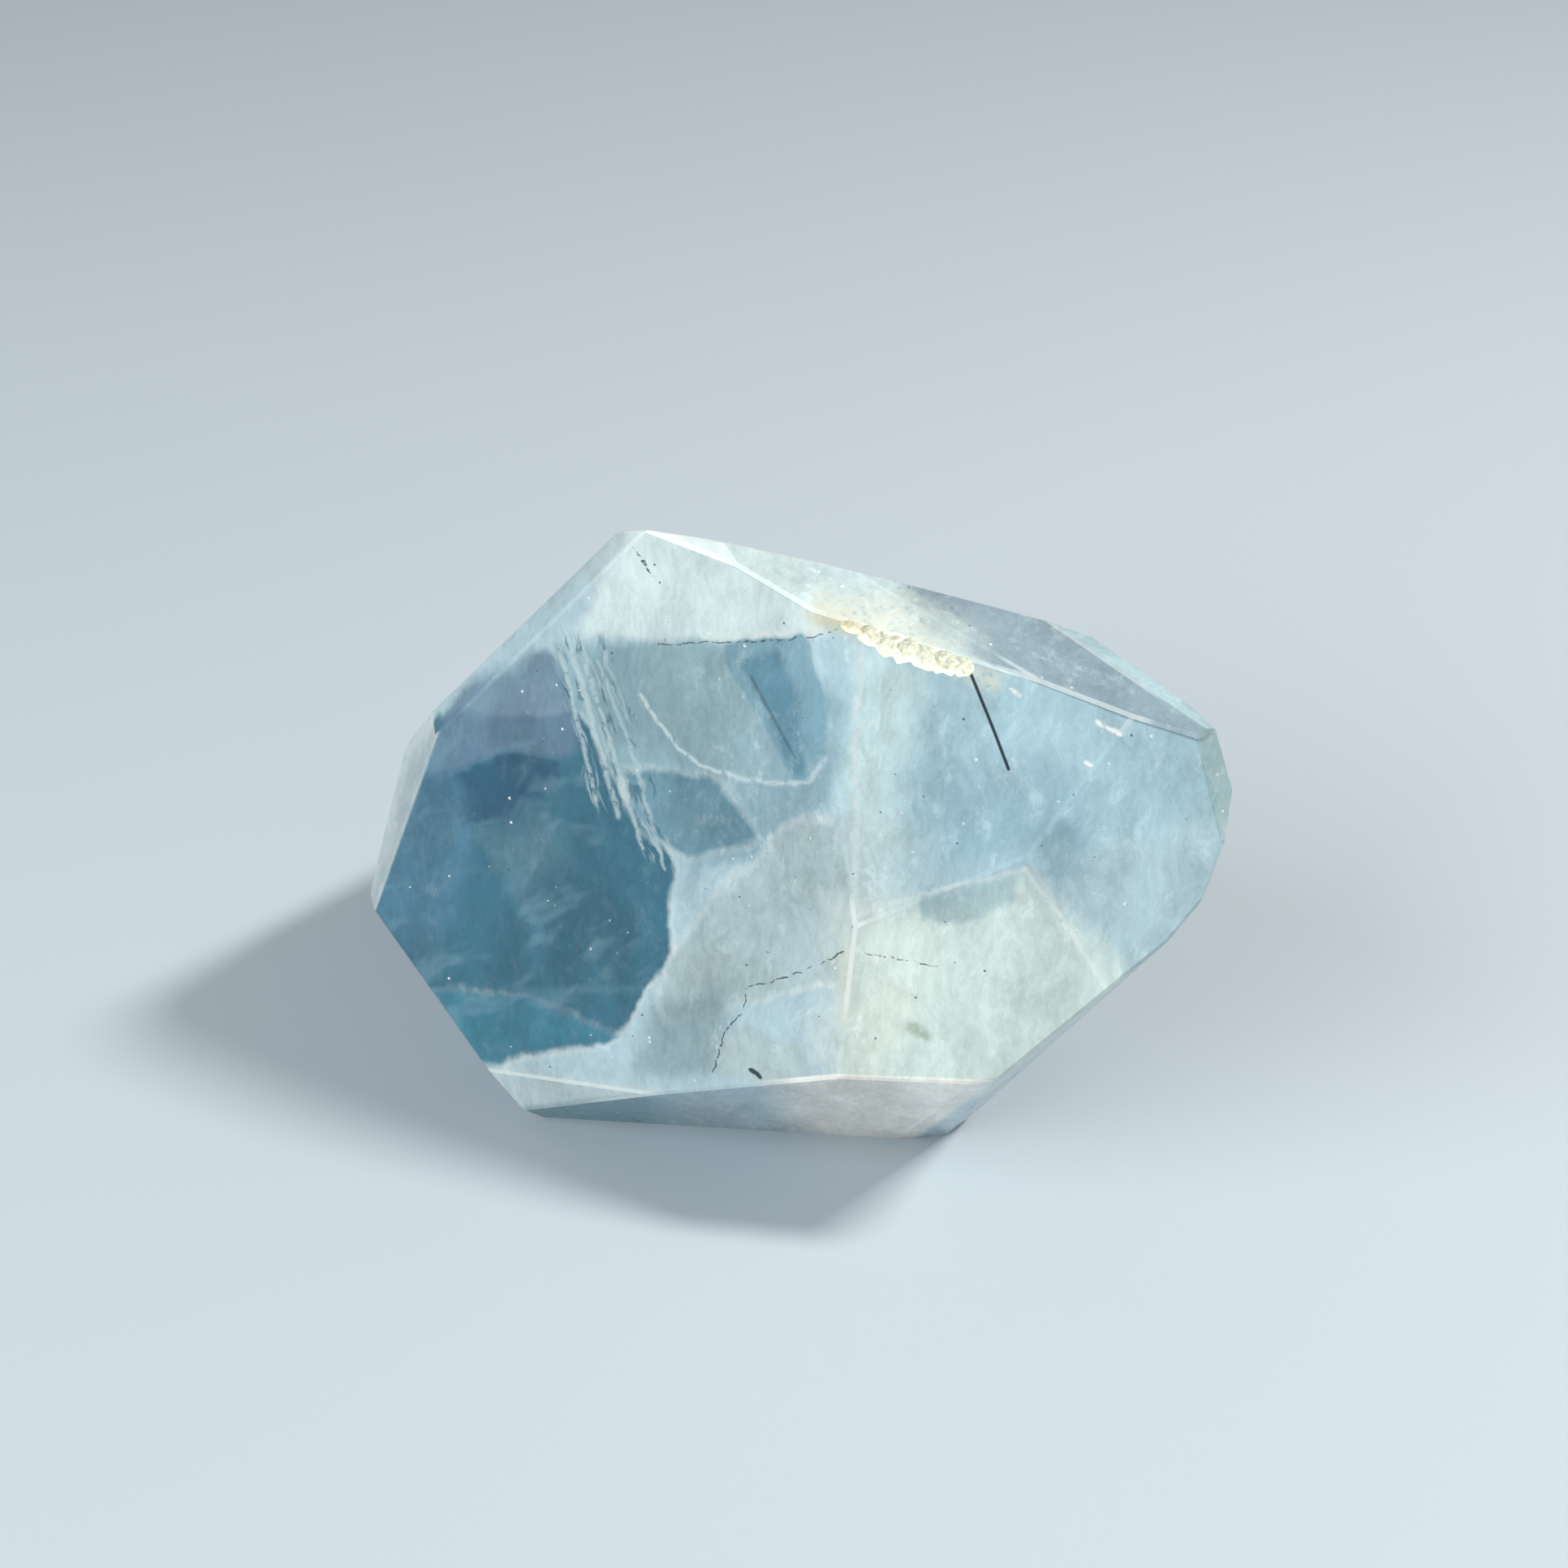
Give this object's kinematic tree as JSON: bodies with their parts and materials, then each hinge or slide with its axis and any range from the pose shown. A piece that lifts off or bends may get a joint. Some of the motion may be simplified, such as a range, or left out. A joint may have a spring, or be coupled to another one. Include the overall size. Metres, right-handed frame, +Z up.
{
  "type": "fluorite freeform",
  "caption": "Hand-size faceted and polished freeform of clear to milky blue fluorite, standing on a small flat foot.",
  "frame": {"origin": "centre of the bounding box's bottom face, on the ground under the stone", "axes": "+Z up, +X along the stone's long axis towards its narrower end, the broad front facets face -Y"},
  "size_m": [0.0599, 0.0386, 0.0452],
  "materials": {
    "fluorite": "polished facets, clear to milky inside, one rough chip on a ridge"
  },
  "bodies": {
    "root": {"stone": "fluorite"}
  },
  "joints": []
}
